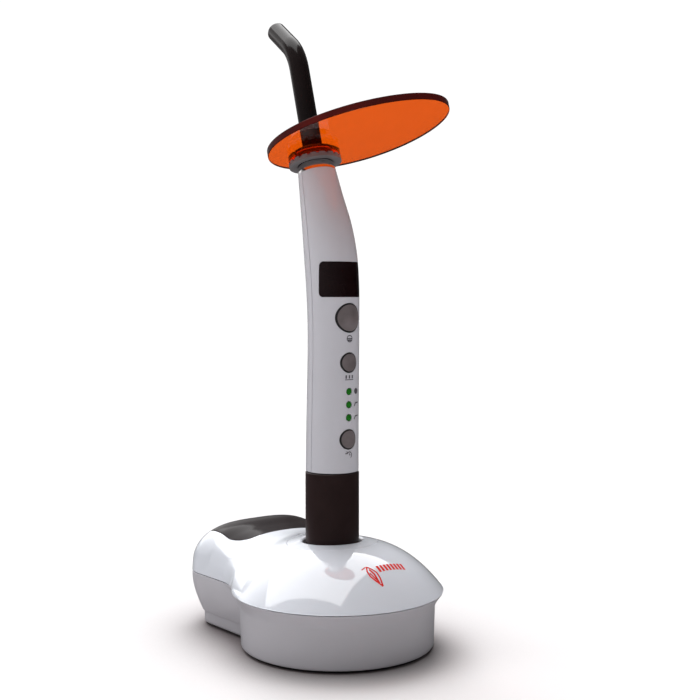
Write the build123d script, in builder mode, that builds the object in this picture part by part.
from build123d import *
from math import cos, sin, radians, sqrt, pi
import os

# Cordless LED curing light standing in its charging base, in millimetres.
# +Z is up.  The origin lies on the table, straight under the handpiece's axis.
# The buttons face -Y and the base's tail points to +Y.

# ---------------------------------------------------------------- driving sizes
# charging base
DRUM_Y = -3.7               # the drum's centre is a little forward of the socket
DRUM_R = 43.0               # drum wall at the bottom
RIM_R = 47.3                # widest circle of the dome
RIM_Z = 25.5                # parting plane of the two base shells
FLARE_Z = 19.0              # where the drum wall starts to flare out to the rim
DOME_TOP = 47.5             # height the dome would reach on its axis
DOME_POWER = 2.8            # fullness of the dome's section
PAD_H = 1.2                 # rubber pad under the drum
BASE_WALL = 2.2
TAIL_HALF = 34.0            # half the tail's width at the parting plane
TAIL_BACK = 77.0            # rearmost point of the tail
TAIL_CORNER = 18.0
WAIST_R = 30.0              # concave radius between drum and tail
PLINTH_HALF = 29.5          # half the tail's width near the table
PLINTH_BACK = 70.5
PLINTH_Z = 7.0
SOCKET_R = 13.15            # mouth of the socket
BEZEL_R = 20.5              # ring around the mouth
CUP_R = 12.6                # bore of the socket cup
CUP_FLOOR = 26.0
CUP_TOP = 41.0
FLOOR_TOP = PAD_H + BASE_WALL
BOARD_Z = 9.0               # underside of the base's circuit board
SCREW_SPOTS = [(-29, -20), (29, -20), (-20, 33), (20, 33)]
BOSS_FOOT = 6.0             # where the screw posts of the two shells meet
BOSS_R = 3.6
WINDOW_HALF = 25.8          # dark window on the tail, seen from above
WINDOW_FRONT = 37.3
WINDOW_REAR = 68.0
WINDOW_CORNER = 9.0
JACK_Z = 14.0               # inlet at the back of the tail
JACK_REACH = 5.6            # its nose, ahead of its body's face

# battery pack: the dark lower length of the handpiece
PACK_R = 12.0
PACK_BOTTOM = 28.0
PACK_TOP = 77.6
CAP_H = 4.0
NECK_R = 9.8                # threaded neck that the handle screws on to
NECK_TOP = 84.5
CELL_R = 9.0
CELL_H = 49.0

# handle: centreline height, its offset in Y, outer radius and backward tilt
STATIONS = [
    (78.0, 0.0, 11.80, 0.0),
    (95.0, -0.15, 11.70, -0.9),
    (112.0, -0.5, 11.58, -1.0),
    (129.0, -0.85, 11.48, -0.6),
    (145.0, -0.9, 11.52, 0.8),
    (160.0, -0.4, 11.80, 4.0),
    (173.0, 1.0, 11.82, 8.5),
    (185.5, 3.5, 11.15, 13.0),
    (199.0, 7.5, 9.75, 15.3),
]
NOSE_END_R = 8.6           # the handle's radius where the nose ring begins
HANDLE_WALL = 1.3
BOARD_Y = -4.2              # rear face of the main board

# neck axis: it leans back and crosses the shield's underside at HUB
LEAN = 15.3
HUB = (0, 13.3, 219.7)
NOSE_TOP = -2.9             # along the neck axis, measured from HUB
NOSE_BASE = -9.0
NOSE_BORE = 6.25
SPIGOT_FOOT = -16.2

# light guide
GUIDE_R = 4.5
CORE_R = 3.9
FERRULE_R = 6.2
FERRULE_TOP = 3.5
GUIDE_FOOT = -15.5
GUIDE_STRAIGHT = 40.7
GUIDE_BEND_R = 21.5
GUIDE_BEND = 42.5
GUIDE_END = 17.2
GUIDE_TURN = 13.0           # the bend points this far from straight back

# shield
PLATE_T = 3.0
PLATE_LONG = 44.0           # half the oval's length
PLATE_WIDE = 31.2           # half its width
PLATE_OFFSET = 24.6         # oval's middle from the hub
PLATE_EGG = -0.074          # the hub end is the fuller one
PLATE_TURN = 17.2           # the oval points this far from straight forward
HUB_R = 11.9
HUB_SLEEVE_R = 8.0
COLLAR_H = 2.9              # orange collar under the plate
RING_H = 2.1                # grey ring under the collar
RING_BORE = 8.25
RING_NOTCHES = 18
LIP_R = 9.0                 # the hub's lip above the plate
LIP_H = 0.7

# controls on the front: (height, radius)
BUTTONS = {
    "power_button": (146.3, 6.3),
    "mode_button": (126.7, 4.3),
    "time_button": (92.9, 4.3),
}
BUTTON_PROUD = 0.35
BUTTON_GAP = 0.15
STEM_END = 7.6              # how far ahead of the axis each button's stem ends
LIGHTS_Z = (114.0, 108.2, 102.5)
LIGHT_R = 1.5
DISPLAY_Z = (155.3, 170.9)
DISPLAY_HALF_ANGLE = 68.0
DISPLAY_CORNER = 2.0

os.makedirs("parts", exist_ok=True)


def neck(n, turn=0.0):
    """Plane across the neck axis, n above HUB, its local -y leaning forward."""
    lean_sin, lean_cos = sin(radians(LEAN)), cos(radians(LEAN))
    turn_sin, turn_cos = sin(radians(turn)), cos(radians(turn))
    return Plane(
        origin=(0, HUB[1] + n * lean_sin, HUB[2] + n * lean_cos),
        x_dir=(turn_cos, turn_sin * lean_cos, -turn_sin * lean_sin),
        z_dir=(0, lean_sin, lean_cos),
    )


def save(part, name):
    part.part.label = name
    export_step(part.part, f"parts/{name}.step")


def tube(plane, outer, inner, height):
    """Private plain ring or disc standing on a plane."""
    with BuildPart() as ring:
        with BuildSketch(plane):
            Circle(outer)
            if inner:
                Circle(inner, mode=Mode.SUBTRACT)
        extrude(amount=height)
    return ring.part


# ------------------------------------------------------------------- base forms
def dome_z(r, inset=0.0):
    """Height of the dome's skin at radius r from the drum's axis."""
    reach = RIM_R - inset
    return DOME_TOP - inset - (DOME_TOP - RIM_Z - inset) * (r / reach) ** DOME_POWER


def dome(inset=0.0):
    """Solid under the dome's skin, down to the parting plane."""
    reach = RIM_R - inset
    radii = [reach * f for f in (0, 0.25, 0.45, 0.62, 0.77, 0.89, 0.96, 1)]
    with BuildPart() as solid:
        with BuildSketch(Plane.XZ):
            with BuildLine():
                Spline([(r, dome_z(r, inset)) for r in radii], tangents=[(1, 0), (0.22, -1)])
                Polyline((reach, RIM_Z), (0, RIM_Z), (0, DOME_TOP - inset))
            make_face()
        revolve(axis=Axis.Z)
    return Pos(0, DRUM_Y, 0) * solid.part


def tail_section(y, half, top, power, inset):
    """Half superellipse across the tail at y."""
    wide = half - inset
    tall = top - inset - RIM_Z
    angles = [radians(a) for a in (0, 18, 36, 54, 72, 90)]
    right = [(wide * cos(a) ** (2 / power), tall * sin(a) ** (2 / power)) for a in angles]
    left = [(-x, z) for x, z in reversed(right[:-1])]
    with BuildSketch(Plane.XZ.offset(-y)) as sketch:
        with BuildLine():
            Spline([(x, RIM_Z + z) for x, z in right + left])
            Line((-wide, RIM_Z), (wide, RIM_Z))
        make_face()
    return sketch.sketch


def tail_top(inset=0.0):
    """Hump behind the dome: y, half width, height and fullness of each section."""
    sections = [
        (8.0, 44.0, 45.4, 1.7),
        (17.0, 41.5, 45.2, 1.8),
        (26.0, 38.5, 45.0, 1.95),
        (35.0, 35.8, 45.0, 2.3),
        (44.0, 34.6, 46.6, 2.8),
        (53.0, 34.0, 48.4, 3.1),
        (62.0 - inset * 0.1, 33.0, 47.4, 3.1),
        (70.0 - inset * 0.5, 29.6, 42.0, 2.8),
        (TAIL_BACK - inset, 15.5, 30.0, 2.6),
    ]
    shapes = [tail_section(*section, inset) for section in sections]
    return loft(shapes)


def plan(half, back, corner, inset):
    """Outline of the tail seen from above, reaching into the drum."""
    depth = back - inset
    with BuildSketch() as sketch:
        with Locations((0, depth / 2)):
            RectangleRounded(2 * (half - inset), depth, corner - inset * 0.5)
    return sketch.sketch


def base_plan(inset=0.0):
    """Outline of the whole base at the parting plane."""
    with BuildSketch() as sketch:
        with Locations((0, DRUM_Y)):
            Circle(RIM_R - inset)
        add(plan(TAIL_HALF, TAIL_BACK, TAIL_CORNER, inset))
        waist = sketch.vertices().filter_by(lambda v: 20 < v.Y < 35 and abs(v.X) > 20)
        fillet(waist, WAIST_R + inset)
    return sketch.sketch


def upper_form(inset=0.0):
    outline = extrude(base_plan(inset), amount=40)
    return (dome(inset) + tail_top(inset)) & (Pos(0, 0, RIM_Z) * outline)


def lower_form(inset=0.0, floor=PAD_H):
    """Drum and tail hull between the floor height and the parting plane."""
    with BuildPart() as drum:
        with BuildSketch(Plane.XZ):
            Polygon(
                (0, floor), (DRUM_R - inset - 0.8, floor), (DRUM_R - inset, floor + 0.8),
                (DRUM_R - inset + 0.5, FLARE_Z - inset * 0.4), (RIM_R - inset - 0.3, RIM_Z - 0.6),
                (RIM_R - inset - 0.3, RIM_Z), (0, RIM_Z), align=None,
            )
        revolve(axis=Axis.Z)
    levels = [
        (PLINTH_Z, PLINTH_HALF, PLINTH_BACK, 14.0),
        (12.5, 31.6, 73.8, 16.0),
        (18.5, 33.3, 76.0, 17.0),
        (RIM_Z, TAIL_HALF, TAIL_BACK, TAIL_CORNER),
    ]
    slices = [Pos(0, 0, z) * plan(half, back, corner, inset) for z, half, back, corner in levels]
    plinth = Pos(0, 0, floor) * extrude(
        plan(PLINTH_HALF, PLINTH_BACK, 14.0, inset), amount=PLINTH_Z - floor)
    return Pos(0, DRUM_Y, 0) * drum.part + loft(slices) + plinth


def window_prism(gap=0.0):
    """Upright prism with the dark window's outline."""
    length = WINDOW_REAR - WINDOW_FRONT - 2 * gap
    with BuildPart() as prism:
        with BuildSketch(Plane.XY.offset(32)):
            with Locations((0, (WINDOW_FRONT + WINDOW_REAR) / 2)):
                RectangleRounded(2 * (WINDOW_HALF - gap), length, WINDOW_CORNER - gap)
        extrude(amount=25)
    return prism.part


UPPER_OUTER = upper_form()
UPPER_INNER = upper_form(BASE_WALL)
LOWER_OUTER = lower_form()
LOWER_INNER = lower_form(BASE_WALL, FLOOR_TOP)

# ------------------------------------------------------------------ base shells
with BuildPart() as bosses:
    with BuildSketch(Plane.XY.offset(RIM_Z)):
        with Locations(*SCREW_SPOTS):
            Circle(BOSS_R)
    extrude(amount=30)
    add(UPPER_OUTER, mode=Mode.INTERSECT)
    with BuildSketch(Plane.XY.offset(BOSS_FOOT)):
        with Locations(*SCREW_SPOTS):
            Circle(BOSS_R)
    extrude(amount=RIM_Z - BOSS_FOOT)
    with BuildSketch(Plane.XY.offset(BOSS_FOOT)):
        with Locations(*SCREW_SPOTS):
            Circle(1.5)
    extrude(amount=14, mode=Mode.SUBTRACT)

with BuildPart() as base_upper_shell:
    add(UPPER_OUTER)
    add(UPPER_INNER, mode=Mode.SUBTRACT)
    add(bosses.part)
    with BuildSketch(Plane.XY.offset(RIM_Z)):
        Circle(BEZEL_R)
    extrude(amount=40, mode=Mode.SUBTRACT)
    add(window_prism(), mode=Mode.SUBTRACT)
save(base_upper_shell, "base_upper_shell")

with BuildPart() as base_lower_shell:
    add(LOWER_OUTER)
    add(LOWER_INNER, mode=Mode.SUBTRACT)
    with BuildSketch(Plane.XY.offset(PAD_H)):
        with Locations(*SCREW_SPOTS):
            Circle(5.2)
    extrude(amount=BOSS_FOOT - PAD_H)
    with BuildSketch(Plane.XY.offset(PAD_H)):
        with Locations(*SCREW_SPOTS):
            Circle(3.1)
    extrude(amount=2.6, mode=Mode.SUBTRACT)
    with BuildSketch(Plane.XY.offset(PAD_H)):
        with Locations(*SCREW_SPOTS):
            Circle(1.7)
    extrude(amount=10, mode=Mode.SUBTRACT)
    with BuildSketch(Plane.XZ.offset(-60)):
        with Locations((0, JACK_Z)):
            Circle(4.2)
    extrude(amount=-30, mode=Mode.SUBTRACT)
save(base_lower_shell, "base_lower_shell")

with BuildPart() as tail_window:
    add(UPPER_OUTER)
    add(UPPER_INNER, mode=Mode.SUBTRACT)
    add(window_prism(0.08), mode=Mode.INTERSECT)
save(tail_window, "tail_window")

# ------------------------------------------------------------ socket in the dome
with BuildPart() as socket_bezel:
    with BuildSketch(Plane.XY.offset(CUP_TOP)):
        Circle(BEZEL_R - 0.12)
        Circle(SOCKET_R, mode=Mode.SUBTRACT)
    extrude(amount=10)
    add(UPPER_OUTER, mode=Mode.INTERSECT)
    mouth = socket_bezel.edges().filter_by(GeomType.BSPLINE).sort_by(Axis.Z)[-1]
    fillet(mouth, 1.3)
save(socket_bezel, "socket_bezel")

with BuildPart() as socket_cup:
    with BuildSketch(Plane.XY.offset(CUP_FLOOR - 2.0)):
        Circle(CUP_R + 1.8)
    extrude(amount=CUP_TOP - CUP_FLOOR + 1.95)
    with BuildSketch(Plane.XY.offset(CUP_TOP - 1.6)):
        Circle(BEZEL_R + 1.5)
    extrude(amount=1.55)
    with BuildSketch(Plane.XY.offset(CUP_FLOOR)):
        Circle(CUP_R)
    extrude(amount=CUP_TOP, mode=Mode.SUBTRACT)
    with BuildSketch(Plane.XY.offset(CUP_FLOOR - 2.0)):
        Circle(1.25)
        with Locations((0, -7)):
            Circle(1.25)
    extrude(amount=3, mode=Mode.SUBTRACT)
save(socket_cup, "socket_cup")

# the contact block hangs under the cup and carries the two spring pins
PIN_SPOTS = {"centre_pin": (0, 0), "ring_pin": (0, -7)}
BLOCK_TOP = CUP_FLOOR - 2.05
with BuildPart() as contact_block:
    with BuildSketch(Plane.XY.offset(BLOCK_TOP - 6.0)):
        with Locations((0, -3.5)):
            RectangleRounded(9, 15, 2)
    extrude(amount=6.0)
    for spot in PIN_SPOTS.values():
        with BuildSketch(Plane.XY.offset(BLOCK_TOP - 4.6)):
            with Locations(spot):
                Circle(1.75)
        extrude(amount=4.6, mode=Mode.SUBTRACT)
save(contact_block, "contact_block")

for pin_name, spot in PIN_SPOTS.items():
    with BuildPart() as pin:
        with BuildSketch(Plane.XY.offset(BLOCK_TOP - 2.6)):
            with Locations(spot):
                Circle(1.65)
        extrude(amount=1.2)
        with BuildSketch(Plane.XY.offset(BLOCK_TOP - 1.4)):
            with Locations(spot):
                Circle(1.1)
        extrude(amount=PACK_BOTTOM - 0.06 - (BLOCK_TOP - 1.4))
        fillet(pin.edges().group_by(Axis.Z)[-1], 0.6)
    save(pin, pin_name)

# ----------------------------------------------------------------- battery pack
with BuildPart() as battery_sleeve:
    with BuildSketch(Plane.XY.offset(PACK_BOTTOM + CAP_H)):
        Circle(PACK_R)
    extrude(amount=PACK_TOP - PACK_BOTTOM - CAP_H)
    chamfer(battery_sleeve.edges().group_by(Axis.Z)[-1], 0.3)
    with BuildSketch(Plane.XY.offset(PACK_TOP)):
        Circle(NECK_R)
    extrude(amount=NECK_TOP - PACK_TOP)
    chamfer(battery_sleeve.edges().group_by(Axis.Z)[-1], 0.5)
    with BuildSketch(Plane.XY.offset(PACK_BOTTOM)):
        Circle(CELL_R + 0.1)
    extrude(amount=NECK_TOP, mode=Mode.SUBTRACT)
save(battery_sleeve, "battery_sleeve")

# the cap's face carries a contact disc and a contact ring, set in shallow pockets
DISC_R, RING_INNER, RING_OUTER, CONTACT_H = 3.0, 5.5, 8.5, 1.25
with BuildPart() as tail_cap:
    with BuildSketch(Plane.XY.offset(PACK_BOTTOM + 0.4)):
        Circle(PACK_R)
    extrude(amount=CAP_H - 0.45)
    fillet(tail_cap.edges().group_by(Axis.Z)[0], 1.2)
    with BuildSketch(Plane.XY.offset(PACK_BOTTOM + 2.0)):
        Circle(CELL_R)
    extrude(amount=CAP_H, mode=Mode.SUBTRACT)
    with BuildSketch(Plane.XY.offset(PACK_BOTTOM)):
        Circle(RING_OUTER + 0.05)
        Circle(RING_INNER - 0.05, mode=Mode.SUBTRACT)
        Circle(DISC_R + 0.05)
    extrude(amount=CONTACT_H + 0.05, mode=Mode.SUBTRACT)
save(tail_cap, "tail_cap")

with BuildPart() as tail_contact_disc:
    add(tube(Plane.XY.offset(PACK_BOTTOM), DISC_R, 0, CONTACT_H))
save(tail_contact_disc, "tail_contact_disc")

with BuildPart() as tail_contact_ring:
    add(tube(Plane.XY.offset(PACK_BOTTOM), RING_OUTER, RING_INNER, CONTACT_H))
save(tail_contact_ring, "tail_contact_ring")

CELL_BOTTOM = PACK_BOTTOM + 4.6
with BuildPart() as battery_cell:
    with BuildSketch(Plane.XY.offset(CELL_BOTTOM)):
        Circle(CELL_R)
    extrude(amount=CELL_H)
    fillet(battery_cell.edges(), 0.8)
    with BuildSketch(Plane.XY.offset(CELL_BOTTOM + CELL_H)):
        Circle(2.8)
    extrude(amount=1.0)
save(battery_cell, "battery_cell")

with BuildPart() as pack_seal_ring:
    with BuildSketch(Plane.XZ):
        with Locations((10.9, PACK_TOP + 0.19)):
            Ellipse(0.55, 0.16)
    revolve(axis=Axis.Z)
save(pack_seal_ring, "pack_seal_ring")

# ----------------------------------------------------------------------- handle
def station_plane(z, y, tilt):
    return Plane(
        origin=(0, y, z), x_dir=(1, 0, 0), z_dir=(0, sin(radians(tilt)), cos(radians(tilt))))


def handle_form(inset):
    """Body of the handle, its skin moved in (or out, when negative) by inset."""
    circles = [station_plane(z, y, tilt) * Circle(radius - inset)
               for z, y, radius, tilt in STATIONS]
    circles.append(neck(NOSE_BASE) * Circle(NOSE_END_R - inset * 0.75))
    return loft(circles)


HANDLE_OUTER = handle_form(0)
HANDLE_INNER = handle_form(HANDLE_WALL)
HANDLE_PROUD = handle_form(-BUTTON_PROUD)


def front_cylinder(z, radius, front=0.0):
    """Cylinder along -Y that begins at y = -front, at height z."""
    with BuildPart() as solid:
        with BuildSketch(Plane.XZ.offset(front)):
            with Locations((0, z)):
                Circle(radius)
        extrude(amount=30)
    return solid.part


def display_cutter(gap=0.0):
    """Wedge around the front for the wrap-around display, corners rounded."""
    z0, z1 = DISPLAY_Z[0] + gap, DISPLAY_Z[1] - gap
    half = radians(DISPLAY_HALF_ANGLE) - gap / PACK_R
    reach = 16.0
    with BuildPart() as wedge:
        with BuildSketch(Plane.XY.offset(z0)):
            with BuildLine():
                ThreePointArc(
                    (-reach * sin(half), -reach * cos(half)), (0, -reach),
                    (reach * sin(half), -reach * cos(half)))
                ThreePointArc(
                    (-8 * sin(half), -8 * cos(half)), (0, -8), (8 * sin(half), -8 * cos(half)))
                Line((-reach * sin(half), -reach * cos(half)), (-8 * sin(half), -8 * cos(half)))
                Line((reach * sin(half), -reach * cos(half)), (8 * sin(half), -8 * cos(half)))
            make_face()
        extrude(amount=z1 - z0)
        corners = wedge.edges().filter_by(GeomType.LINE).filter_by(
            lambda e: abs(e.tangent_at(0.5).Z) < 0.1)
        fillet(corners, DISPLAY_CORNER)
    return wedge.part


# the front half lies ahead of a sheet that follows the centreline
with BuildPart() as front_zone:
    with BuildSketch(Plane.YZ):
        with BuildLine():
            spine = [(y, z) for z, y, radius, tilt in STATIONS]
            top = (HUB[1] + 4 * sin(radians(LEAN)), HUB[2] + 4 * cos(radians(LEAN)))
            Spline([(0, 70)] + spine + [top])
            Polyline((0, 70), (-40, 70), (-40, top[1]), top)
        make_face()
    extrude(amount=30, both=True)

SHELL = HANDLE_OUTER - HANDLE_INNER
nose_bore = extrude(neck(-25) * Circle(7.2), amount=30)
SHELL = SHELL - nose_bore

with BuildPart() as handle_front_shell:
    add(SHELL)
    add(front_zone.part, mode=Mode.INTERSECT)
    add(display_cutter(), mode=Mode.SUBTRACT)
    for z, radius in BUTTONS.values():
        add(front_cylinder(z, radius + BUTTON_GAP), mode=Mode.SUBTRACT)
    for z in LIGHTS_Z:
        add(front_cylinder(z, LIGHT_R + 0.05), mode=Mode.SUBTRACT)
save(handle_front_shell, "handle_front_shell")

with BuildPart() as handle_rear_shell:
    add(SHELL)
    add(front_zone.part, mode=Mode.SUBTRACT)
save(handle_rear_shell, "handle_rear_shell")

with BuildPart() as display_window:
    add(HANDLE_OUTER)
    add(HANDLE_INNER, mode=Mode.SUBTRACT)
    add(display_cutter(0.06), mode=Mode.INTERSECT)
save(display_window, "display_window")

with BuildPart() as thread_ring:
    add(tube(Plane.XY.offset(PACK_TOP + 0.9), 10.3, NECK_R + 0.05, 6.4))
save(thread_ring, "thread_ring")

# --------------------------------------------------------------- control buttons
for button_name, (z, radius) in BUTTONS.items():
    back_y = sqrt(11.5 ** 2 - radius ** 2) - 0.7
    with BuildPart() as button:
        add(HANDLE_PROUD)
        add(front_cylinder(z, radius, back_y), mode=Mode.INTERSECT)
        with BuildSketch(Plane.XZ.offset(9.5)):
            with Locations((0, z)):
                Rectangle(4.0, 2 * radius + 2.0)
        extrude(amount=0.65)
        with BuildSketch(Plane.XZ.offset(STEM_END)):
            with Locations((0, z)):
                Circle(1.6)
        extrude(amount=9.6 - STEM_END)
    save(button, button_name)

with BuildPart() as indicator_pipes:
    for z in LIGHTS_Z:
        add(HANDLE_PROUD & front_cylinder(z, LIGHT_R, 6.1))
save(indicator_pipes, "indicator_pipes")

# ------------------------------------------------------------------- electronics
with BuildPart() as main_board:
    with BuildSketch(Plane.XZ.offset(-BOARD_Y)):
        with Locations((0, 120)):
            RectangleRounded(15, 64, 1.5)
    extrude(amount=1.0)
save(main_board, "main_board")
BOARD_FRONT = -BOARD_Y + 1.0

with BuildPart() as tact_switches:
    for z, radius in BUTTONS.values():
        with BuildSketch(Plane.XZ.offset(BOARD_FRONT)):
            with Locations((0, z)):
                RectangleRounded(4.5, 4.5, 0.4)
        extrude(amount=1.2)
        with BuildSketch(Plane.XZ.offset(BOARD_FRONT + 1.2)):
            with Locations((0, z)):
                Circle(1.2)
        extrude(amount=0.7)
save(tact_switches, "tact_switches")

with BuildPart() as indicator_leds:
    with BuildSketch(Plane.XZ.offset(BOARD_FRONT)):
        with Locations(*[(0, z) for z in LIGHTS_Z]):
            Rectangle(1.6, 1.0)
    extrude(amount=0.6)
save(indicator_leds, "indicator_leds")

with BuildPart() as buzzer:
    with BuildSketch(Plane.XZ.offset(-BOARD_Y)):
        with Locations((0, 118)):
            Circle(4.5)
    extrude(amount=-3.5)
save(buzzer, "buzzer")

with BuildPart() as display_module:
    with BuildSketch(Plane.XZ.offset(6.6)):
        with Locations((0, 163)):
            RectangleRounded(9.6, 13, 0.5)
    extrude(amount=1.7)
save(display_module, "display_module")

with BuildPart() as display_ribbon:
    with BuildSketch(Plane.YZ):
        Polygon((-6.5, 158.9), (-4.8, 158.9), (-4.8, 152.1), (-5.05, 152.1),
                (-5.05, 158.65), (-6.5, 158.65), align=None)
    extrude(amount=3, both=True)
save(display_ribbon, "display_ribbon")

with BuildPart() as battery_spring:
    coil = Helix(pitch=1.9, height=9.5, radius=3.2, center=(0, 0, 83.1))
    with BuildLine():
        add(coil)
    with BuildSketch(Plane(origin=coil @ 0, z_dir=coil % 0)):
        Circle(0.35)
    sweep()
save(battery_spring, "battery_spring")

# ------------------------------------------------------------------- light engine
with BuildPart() as heat_sink:
    with BuildSketch(neck(-44)):
        Circle(8.0)
    extrude(amount=18)
    for level in (-42.5, -39.5, -36.5, -33.5):
        with BuildSketch(neck(level)):
            Circle(8.5)
            Circle(5.5, mode=Mode.SUBTRACT)
        extrude(amount=1.6, mode=Mode.SUBTRACT)
save(heat_sink, "heat_sink")

with BuildPart() as led_board:
    add(tube(neck(-26), 6.8, 0, 1.2))
save(led_board, "led_board")

with BuildPart() as led_emitter:
    with BuildSketch(neck(-24.8)):
        Rectangle(3.6, 3.6)
    extrude(amount=0.8)
    with BuildSketch(neck(-24.0)):
        Circle(1.5)
    extrude(amount=1.0)
    fillet(led_emitter.edges().group_by(Axis((0, 0, 0), neck(0).z_dir))[-1], 0.8)
save(led_emitter, "led_emitter")

with BuildPart() as collimator_lens:
    with BuildSketch(neck(-22.6)):
        Circle(6.2)
    extrude(amount=6.0)
    chamfer(collimator_lens.edges().group_by(Axis((0, 0, 0), neck(0).z_dir))[0], 1.8)
save(collimator_lens, "collimator_lens")

with BuildPart() as nose_ring:
    with BuildSketch(neck(NOSE_BASE)):
        Circle(NOSE_END_R)
    with BuildSketch(neck(NOSE_TOP)):
        Circle(7.6)
    loft()
    fillet(nose_ring.edges().group_by(Axis((0, 0, 0), neck(0).z_dir))[-1], 1.0)
    with BuildSketch(neck(SPIGOT_FOOT)):
        Circle(7.15)
    extrude(amount=NOSE_BASE + 1 - SPIGOT_FOOT)
    with BuildSketch(neck(SPIGOT_FOOT)):
        Circle(NOSE_BORE)
    extrude(amount=20, mode=Mode.SUBTRACT)
save(nose_ring, "nose_ring")

# -------------------------------------------------------------------- light guide
def guide_path():
    turn = neck(GUIDE_FOOT, -GUIDE_TURN)
    straight = GUIDE_STRAIGHT - GUIDE_FOOT
    # here the first axis runs along the neck and the second one backward
    side = Plane(origin=turn.origin, x_dir=turn.z_dir, z_dir=-turn.x_dir)
    with BuildLine(side) as line:
        shaft = Line((0, 0), (straight, 0))
        bend = JernArc(shaft @ 1, shaft % 1, GUIDE_BEND_R, GUIDE_BEND)
        Line(bend @ 1, (bend @ 1) + (bend % 1) * GUIDE_END)
    return line


path = guide_path()
with BuildPart() as guide_sheath:
    add(path.line)
    with BuildSketch(neck(GUIDE_FOOT)):
        Circle(GUIDE_R)
        Circle(CORE_R + 0.03, mode=Mode.SUBTRACT)
    sweep(path=path.wires()[0])
save(guide_sheath, "guide_sheath")

with BuildPart() as guide_core:
    with BuildSketch(neck(GUIDE_FOOT)):
        Circle(CORE_R)
    sweep(path=path.wires()[0])
save(guide_core, "guide_core")

with BuildPart() as guide_ferrule:
    add(tube(neck(GUIDE_FOOT), FERRULE_R, GUIDE_R + 0.03, FERRULE_TOP - GUIDE_FOOT))
    add(tube(neck(-10.4), FERRULE_R + 1, 5.55, 0.8), mode=Mode.SUBTRACT)
save(guide_ferrule, "guide_ferrule")

with BuildPart() as guide_seal_ring:
    add(tube(neck(-10.3), FERRULE_R + 0.02, 5.6, 0.6))
save(guide_seal_ring, "guide_seal_ring")

# ------------------------------------------------------------------------- shield
with BuildPart() as shield_plate:
    with BuildSketch(neck(0, PLATE_TURN)):
        with BuildLine():
            outline = []
            for step in range(16):
                t = 2 * pi * step / 16
                along = PLATE_OFFSET + PLATE_LONG * cos(t)
                across = PLATE_WIDE * (1 + PLATE_EGG * cos(t)) * sin(t)
                outline.append((across, -along))
            Spline(outline, periodic=True)
        make_face()
        Circle(HUB_SLEEVE_R + 0.05, mode=Mode.SUBTRACT)
    extrude(amount=PLATE_T)
save(shield_plate, "shield_plate")

with BuildPart() as shield_hub:
    add(tube(neck(PLATE_T), LIP_R, FERRULE_R + 0.05, LIP_H))
    add(tube(neck(-2.6), HUB_SLEEVE_R, FERRULE_R + 0.05, PLATE_T + 2.6))
save(shield_hub, "shield_hub")

with BuildPart() as shield_collar:
    add(tube(neck(-COLLAR_H), HUB_R - 0.1, HUB_SLEEVE_R + 0.65, COLLAR_H))
save(shield_collar, "shield_collar")

# the ring's thin neck reaches up between the hub's sleeve and the collar
with BuildPart() as shield_ring:
    add(tube(neck(-COLLAR_H - RING_H), HUB_R, RING_BORE, RING_H))
    add(tube(neck(-COLLAR_H - 0.5), HUB_SLEEVE_R + 0.6, HUB_SLEEVE_R + 0.05, 2.4))
    with BuildSketch(neck(-COLLAR_H - 0.9)):
        with PolarLocations(HUB_R, RING_NOTCHES):
            Rectangle(2.0, 1.6)
    extrude(amount=1.0, mode=Mode.SUBTRACT)
save(shield_ring, "shield_ring")

# ----------------------------------------------------------- inside the base
with BuildPart() as ballast_plate:
    with BuildSketch(Plane.XY.offset(FLOOR_TOP)):
        with Locations((0, DRUM_Y)):
            Circle(26)
    extrude(amount=5)
    chamfer(ballast_plate.edges().group_by(Axis.Z)[-1], 0.8)
save(ballast_plate, "ballast_plate")

with BuildPart() as base_board:
    with BuildSketch(Plane.XY.offset(BOARD_Z)):
        with Locations((0, 53)):
            RectangleRounded(38, 26, 2)
    extrude(amount=1.6)
    for spot in ((-15, 46), (15, 46)):
        with BuildSketch(Plane.XY.offset(FLOOR_TOP + 0.02)):
            with Locations(spot):
                Circle(2.2)
        extrude(amount=BOARD_Z - FLOOR_TOP - 0.02)
save(base_board, "base_board")

with BuildPart() as dc_jack:
    with BuildSketch(Plane.XY.offset(BOARD_Z + 1.6)):
        with Locations((0, 62.5)):
            Rectangle(9, 14)
    extrude(amount=JACK_Z + 4.4 - BOARD_Z - 1.6)
    with BuildSketch(Plane.XZ.offset(-69)):
        with Locations((0, JACK_Z)):
            Circle(4.0)
    extrude(amount=-JACK_REACH)
    with BuildSketch(Plane.XZ.offset(-69 - JACK_REACH)):
        with Locations((0, JACK_Z)):
            Circle(2.8)
            Circle(1.0, mode=Mode.SUBTRACT)
    extrude(amount=10, mode=Mode.SUBTRACT)
save(dc_jack, "dc_jack")

with BuildPart() as charge_leds:
    with BuildSketch(Plane.XY.offset(BOARD_Z + 1.6)):
        with Locations((-4, 52), (4, 52)):
            Rectangle(1.6, 1.0)
    extrude(amount=0.7)
save(charge_leds, "charge_leds")

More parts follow.
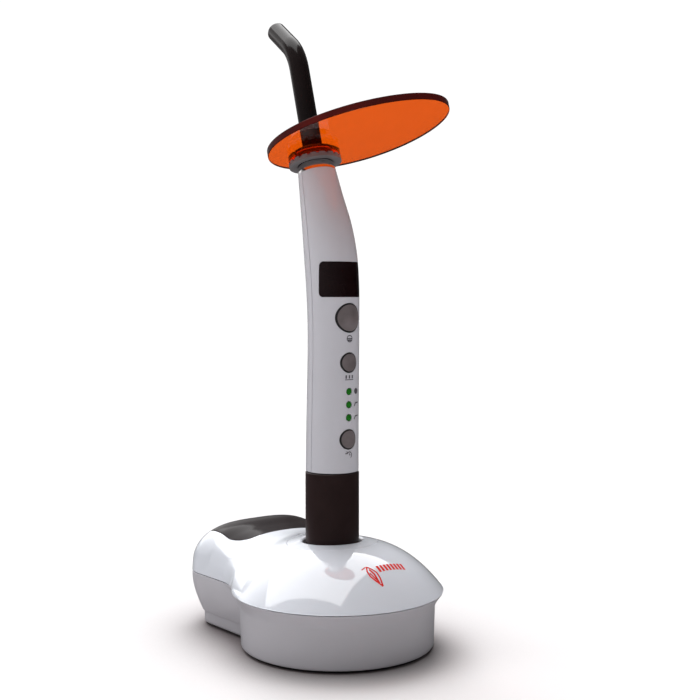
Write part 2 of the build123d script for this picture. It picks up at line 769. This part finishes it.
with BuildPart() as charge_light_pipe:
    with BuildSketch(Plane.XY.offset(BOARD_Z + 2.4)):
        with Locations((-4, 52), (4, 52)):
            Circle(1.6)
    extrude(amount=44.0 - BOARD_Z - 2.4)
    with BuildSketch(Plane.XY.offset(41.0)):
        with Locations((0, 52)):
            SlotCenterToCenter(8, 5)
    extrude(amount=4.4)
save(charge_light_pipe, "charge_light_pipe")

with BuildPart() as pin_leads:
    for side in (-1, 1):
        with BuildSketch(Plane.XZ.offset(-1.6)):
            with Locations((side * 2.2, 14.0)):
                Circle(0.7)
        extrude(amount=-39.2)
        with BuildSketch(Plane.XY.offset(13.3)):
            with Locations((side * 2.2, 2.3)):
                Circle(0.7)
        extrude(amount=BLOCK_TOP - 6.0 - 13.3)
        with BuildSketch(Plane.XY.offset(BOARD_Z + 1.6)):
            with Locations((side * 2.2, 41.5)):
                Circle(0.7)
        extrude(amount=3.5)
save(pin_leads, "pin_leads")

# ------------------------------------------------------- under the base
with BuildPart() as anti_slip_pad:
    with BuildSketch():
        with Locations((0, DRUM_Y)):
            Circle(DRUM_R - 2.0)
        with Locations(*SCREW_SPOTS):
            Circle(BOSS_R, mode=Mode.SUBTRACT)
    extrude(amount=PAD_H)
save(anti_slip_pad, "anti_slip_pad")

with BuildPart() as tail_feet:
    with BuildSketch():
        with Locations((-16, 59), (16, 59)):
            Circle(4.5)
    extrude(amount=PAD_H)
    chamfer(tail_feet.edges().group_by(Axis.Z)[0], 0.3)
save(tail_feet, "tail_feet")

with BuildPart() as base_screws:
    with BuildSketch(Plane.XY.offset(PAD_H + 0.3)):
        with Locations(*SCREW_SPOTS):
            Circle(2.8)
    extrude(amount=2.2)
    with BuildSketch(Plane.XY.offset(PAD_H + 2.5)):
        with Locations(*SCREW_SPOTS):
            Circle(1.45)
    extrude(amount=12)
    with BuildSketch(Plane.XY.offset(PAD_H + 0.3)):
        with Locations(*SCREW_SPOTS):
            Rectangle(3.6, 0.8)
            Rectangle(0.8, 3.6)
    extrude(amount=1.2, mode=Mode.SUBTRACT)
save(base_screws, "base_screws")
